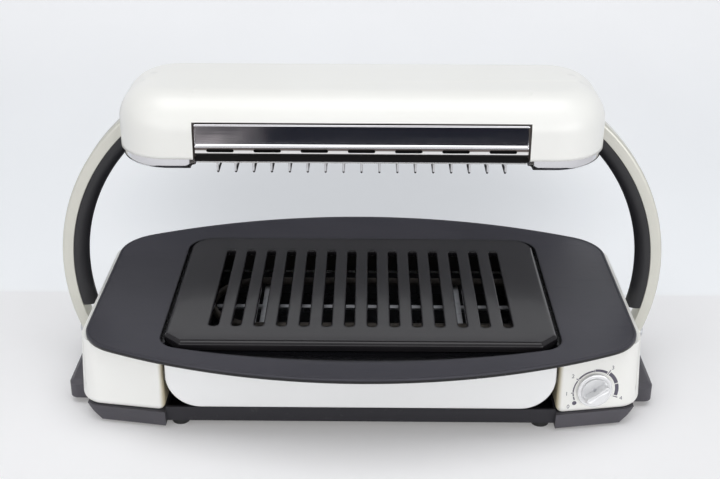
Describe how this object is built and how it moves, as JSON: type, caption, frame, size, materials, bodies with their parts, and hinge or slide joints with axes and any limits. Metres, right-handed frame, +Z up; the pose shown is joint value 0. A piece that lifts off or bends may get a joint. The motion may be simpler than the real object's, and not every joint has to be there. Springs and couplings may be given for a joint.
{
  "type": "electric table grill",
  "caption": "Electric table grill with a slotted cooking plate, a heater head on two arms, a sunken surround, a drip drawer and a turn knob.",
  "frame": {"origin": "on the table under the middle of the grill", "axes": "+X to the right as the user sees it, +Y to the back, +Z up"},
  "size_m": [0.553, 0.335, 0.289],
  "materials": {
    "ivory_plastic": "satin ivory moulded plastic",
    "white_enamel": "glossy white enamel",
    "grey_plastic": "matt dark grey plastic",
    "surround_coat": "matt dark grey non-stick coat",
    "grill_coat": "glossy black non-stick coat on cast metal",
    "polished_steel": "polished",
    "reflector_steel": "bright rolled sheet",
    "zinc_steel": "galvanised sheet",
    "heater_steel": "dull heater sheath",
    "quartz": "frosted quartz tube",
    "ceramic": null,
    "satin_band": "satin silver-ivory",
    "black_grip": "fine satin black",
    "rubber": "matt",
    "tray_steel": "dark enamel",
    "knob_silver": "silver coat",
    "black_plastic": "black",
    "brass": "bright contact pins",
    "cable": "sheathed cable"
  },
  "bodies": {
    "base": {"end_block_left": "ivory_plastic", "end_block_right": "ivory_plastic", "base_chassis": "grey_plastic", "rubber_feet": "rubber", "rear_panel": "white_enamel", "pivot_pin_left": "zinc_steel", "pivot_pin_right": "zinc_steel", "pivot_bracket_left": "zinc_steel", "pivot_bracket_right": "zinc_steel", "heater_liner": "reflector_steel", "lower_heater": "heater_steel", "heater_support": "zinc_steel", "heater_terminal_block": "ceramic", "terminal_post": "black_plastic", "thermostat": "black_plastic", "thermostat_bracket": "zinc_steel", "power_inlet": "black_plastic", "inlet_pins": "brass", "drawer_rail_left": "zinc_steel", "drawer_rail_right": "zinc_steel"},
    "knob": {"control_knob": "knob_silver", "knob_spindle": "zinc_steel"},
    "drawer": {"drawer_front": "white_enamel", "drip_tray": "tray_steel"},
    "surround": {"surround_plate": "surround_coat"},
    "grill": {"grill_plate": "grill_coat"},
    "arch": {"arm_band_left": "satin_band", "arm_band_right": "satin_band", "arm_grip_left": "black_grip", "arm_grip_right": "black_grip", "arm_cable": "cable", "head_cover": "ivory_plastic", "head_pan": "polished_steel", "head_front_panel": "polished_steel", "head_reflector": "reflector_steel", "head_heat_shield": "zinc_steel", "heater_holder_left": "zinc_steel", "heater_holder_right": "zinc_steel", "upper_heater_front": "quartz", "upper_heater_back": "quartz", "heater_end_caps": "ceramic", "guard_grille": "polished_steel", "head_beam": "zinc_steel", "thermal_cutoff": "black_plastic"}
  },
  "joints": [
    {"name": "arch_tilt", "type": "hinge", "parent": "base", "child": "arch", "pos_m": [0, 0, 0.04], "axis": [-1, 0, 0], "range_deg": [0, 60]},
    {"name": "drawer_slide", "type": "slide", "parent": "base", "child": "drawer", "axis": [0, -1, 0], "range_m": [0, 0.17]},
    {"name": "knob_turn", "type": "hinge", "parent": "base", "child": "knob", "pos_m": [0.204, -0.10698, 0.0395], "axis": [-0.1615, 0.9857, -0.0471], "range_deg": [0, 236.5]},
    {"name": "surround_lift", "type": "slide", "parent": "base", "child": "surround", "axis": [0, 0, 1], "range_m": [0, 0.02]},
    {"name": "grill_lift", "type": "slide", "parent": "surround", "child": "grill", "axis": [0, 0, 1], "range_m": [0, 0.04]}
  ]
}
